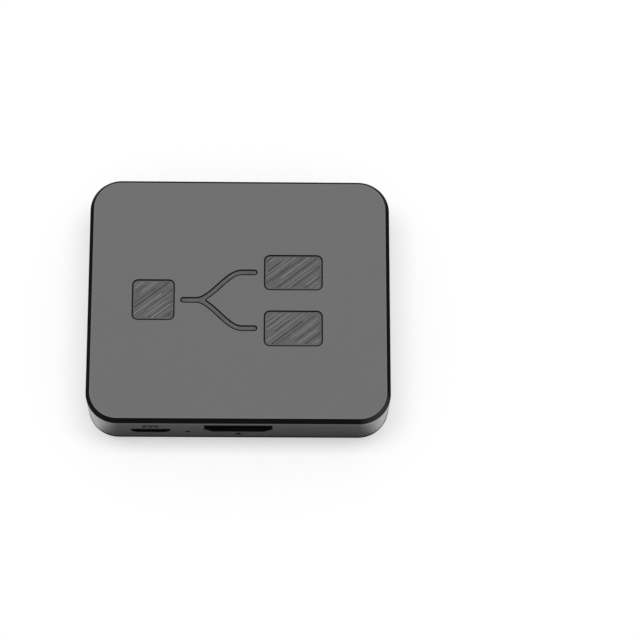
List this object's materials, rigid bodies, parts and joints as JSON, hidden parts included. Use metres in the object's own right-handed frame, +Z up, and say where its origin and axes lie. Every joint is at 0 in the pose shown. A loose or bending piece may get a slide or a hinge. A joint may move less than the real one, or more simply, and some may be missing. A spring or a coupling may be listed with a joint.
{
  "type": "hdmi splitter",
  "caption": "Flat video splitter box with round corners and a bevelled matt lid: video input, power socket and power light at the front, video outputs at the back.",
  "frame": {"origin": "under the middle of the case, on the surface it rests on", "axes": "+Z up, the front wall with the video input and the power socket faces -Y, +X to the right seen from the front"},
  "size_m": [0.067, 0.0564, 0.0128],
  "materials": {
    "cover_plastic": "fine matt grain on the top face, polished black bevel round it",
    "case_plastic": "satin black moulding",
    "screw_steel": "blackened steel",
    "board_laminate": "glass laminate under a green solder mask",
    "socket_metal": "nickel-plated formed sheet",
    "insulator_plastic": "black moulded insulator",
    "contact_gold": "gold-plated copper alloy",
    "chip_plastic": "black moulding compound",
    "tinned_metal": "tinned metal",
    "ferrite": "dark grey ferrite",
    "can_aluminium": "drawn aluminium",
    "crystal_metal": "nickel-plated lid",
    "light_body": "white carrier",
    "light_lens": "clear resin, unlit",
    "capacitor_ceramic": "tan ceramic",
    "resistor_ceramic": "black coated ceramic"
  },
  "bodies": {
    "root": {"top_cover": "cover_plastic", "bottom_case": "case_plastic", "case_screws": "screw_steel", "circuit_board": "board_laminate", "input_shell": "socket_metal", "input_insulator": "insulator_plastic", "input_contacts": "contact_gold", "output_1_shell": "socket_metal", "output_1_insulator": "insulator_plastic", "output_1_contacts": "contact_gold", "output_2_shell": "socket_metal", "output_2_insulator": "insulator_plastic", "output_2_contacts": "contact_gold", "power_shell": "socket_metal", "power_insulator": "insulator_plastic", "power_contacts": "contact_gold", "splitter_chip": "chip_plastic", "splitter_chip_leads": "tinned_metal", "memory_chip": "chip_plastic", "memory_chip_leads": "tinned_metal", "voltage_regulator": "chip_plastic", "voltage_regulator_leads": "tinned_metal", "power_inductor": "ferrite", "bulk_capacitor_can": "can_aluminium", "bulk_capacitor_base": "insulator_plastic", "clock_crystal": "crystal_metal", "power_light": "light_body", "power_light_lens": "light_lens", "ceramic_capacitors": "capacitor_ceramic", "chip_resistors": "resistor_ceramic", "component_end_caps": "tinned_metal"}
  },
  "joints": []
}
